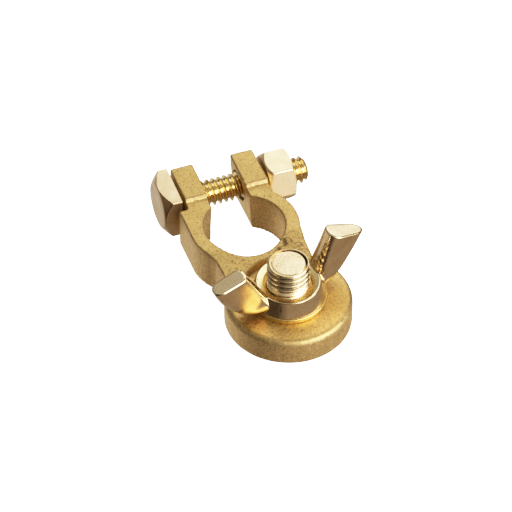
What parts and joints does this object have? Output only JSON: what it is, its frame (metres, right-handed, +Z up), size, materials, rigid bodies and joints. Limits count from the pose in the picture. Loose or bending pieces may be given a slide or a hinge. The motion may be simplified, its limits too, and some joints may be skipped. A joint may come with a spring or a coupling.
{
  "type": "battery terminal clamp",
  "caption": "Brass split-ring clamp for a round post, closed by a square-head bolt and hex nut, with a threaded stud, washer and wing nut for a second cable lug",
  "frame": {"origin": "on the axis of the post bore, at the underside of the clamp ring", "axes": "+Z up along the post bore and the stud, +Y from the stud pad towards the jaw ears (the longest direction), +X along the clamp bolt from its head to its nut"},
  "size_m": [0.0387, 0.0582, 0.0212],
  "materials": {
    "cast_brass": "sand-cast grain, dull satin, darker on the sides",
    "stud_brass": "bright rolled thread, faint turning marks on the end",
    "washer_brass": "stamped, satin",
    "wing_nut_brass": "tumbled and lightly polished",
    "bolt_brass": "turned head face, bright rolled thread",
    "nut_brass": "smooth drawn flats, chamfered faces"
  },
  "bodies": {
    "clamp": {"clamp_body": "cast_brass", "terminal_stud": "stud_brass"},
    "washer": {"flat_washer": "washer_brass"},
    "wing_nut": {"wing_nut": "wing_nut_brass"},
    "bolt": {"clamp_bolt": "bolt_brass"},
    "nut": {"clamp_nut": "nut_brass"}
  },
  "joints": [
    {"name": "wing_nut_lift", "type": "slide", "parent": "clamp", "child": "washer", "axis": [0, 0, 1], "range_m": [0, 0.00423]},
    {"name": "wing_nut_turn", "type": "hinge", "parent": "washer", "child": "wing_nut", "pos_m": [0.00238, -0.02142, 0.008], "axis": [0, 0, 1], "range_deg": [0, 1080]},
    {"name": "bolt_slide", "type": "slide", "parent": "clamp", "child": "bolt", "axis": [-1, 0, 0], "range_m": [0, 0.00367]},
    {"name": "clamp_nut_turn", "type": "hinge", "parent": "clamp", "child": "nut", "pos_m": [0.0105, 0.01625, 0.00605], "axis": [1, 0, 0], "range_deg": [0, 936]}
  ],
  "couplings": [
    {"joint": "wing_nut_turn", "follows": "wing_nut_lift", "rad_per_m": 4452.6},
    {"joint": "clamp_nut_turn", "follows": "bolt_slide", "rad_per_m": 4452.6}
  ]
}
